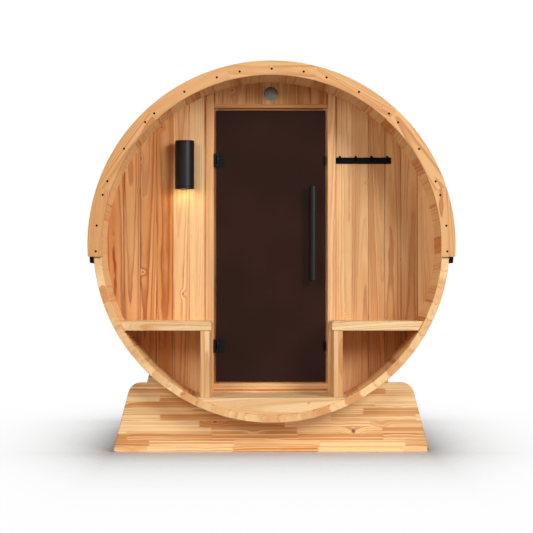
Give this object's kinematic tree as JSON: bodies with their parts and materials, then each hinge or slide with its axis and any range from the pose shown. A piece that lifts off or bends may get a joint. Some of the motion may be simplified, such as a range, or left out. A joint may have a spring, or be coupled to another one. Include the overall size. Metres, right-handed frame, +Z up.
{
  "type": "barrel sauna",
  "caption": "Timber barrel sauna on saddle panels, with a recessed porch, side benches, a hinged dark glass door, a wall lamp, a hook rail and a lapped shingle roof.",
  "frame": {"origin": "middle of the plan at ground level", "axes": "+Z up, the barrel's axis along Y, the porch and door facing -Y"},
  "size_m": [2.1958, 2.484, 2.358],
  "materials": {
    "stave_wood": "planed, oiled",
    "wall_wood": "planed, oiled",
    "floor_wood": "planed",
    "panel_wood": "edge-glued, oiled",
    "roofing": "matt, granular",
    "steel": "brushed",
    "black_metal": "satin black",
    "lens": "opal",
    "tinted_glass": "dark bronze, polished"
  },
  "bodies": {
    "sauna": {"top_staves": "stave_wood", "left_staves": "stave_wood", "right_staves": "stave_wood", "bottom_staves": "stave_wood", "front_fascia": "stave_wood", "rear_fascia": "stave_wood", "front_wall_left": "wall_wood", "front_wall_right": "wall_wood", "front_wall_over_door": "wall_wood", "front_wall_under_door": "wall_wood", "rear_wall": "wall_wood", "left_jamb": "wall_wood", "right_jamb": "wall_wood", "door_header": "wall_wood", "door_sill": "wall_wood", "porch_floor": "floor_wood", "porch_riser": "floor_wood", "cabin_floor": "floor_wood", "floor_bearers": "floor_wood", "left_bench_top": "panel_wood", "left_bench_side": "panel_wood", "right_bench_top": "panel_wood", "right_bench_side": "panel_wood", "front_saddle": "panel_wood", "rear_saddle": "panel_wood", "roof_shingles": "roofing", "left_eave_trim": "roofing", "right_eave_trim": "roofing", "steel_bands": "steel", "vent_cover": "steel", "lamp_housing": "black_metal", "lamp_bracket": "black_metal", "hook_rail": "black_metal", "coat_hooks": "black_metal", "hinge_brackets": "black_metal", "lamp_lens": "lens"},
    "door": {"door_glass": "tinted_glass", "hinge_clamps": "black_metal", "outer_handle": "black_metal", "inner_handle": "wall_wood", "door_catches": "black_metal"}
  },
  "joints": [
    {"name": "door_hinge", "type": "hinge", "parent": "sauna", "child": "door", "pos_m": [-0.3315, -0.8153, 1.2], "axis": [0, 0, -1], "range_deg": [0, 90]}
  ]
}
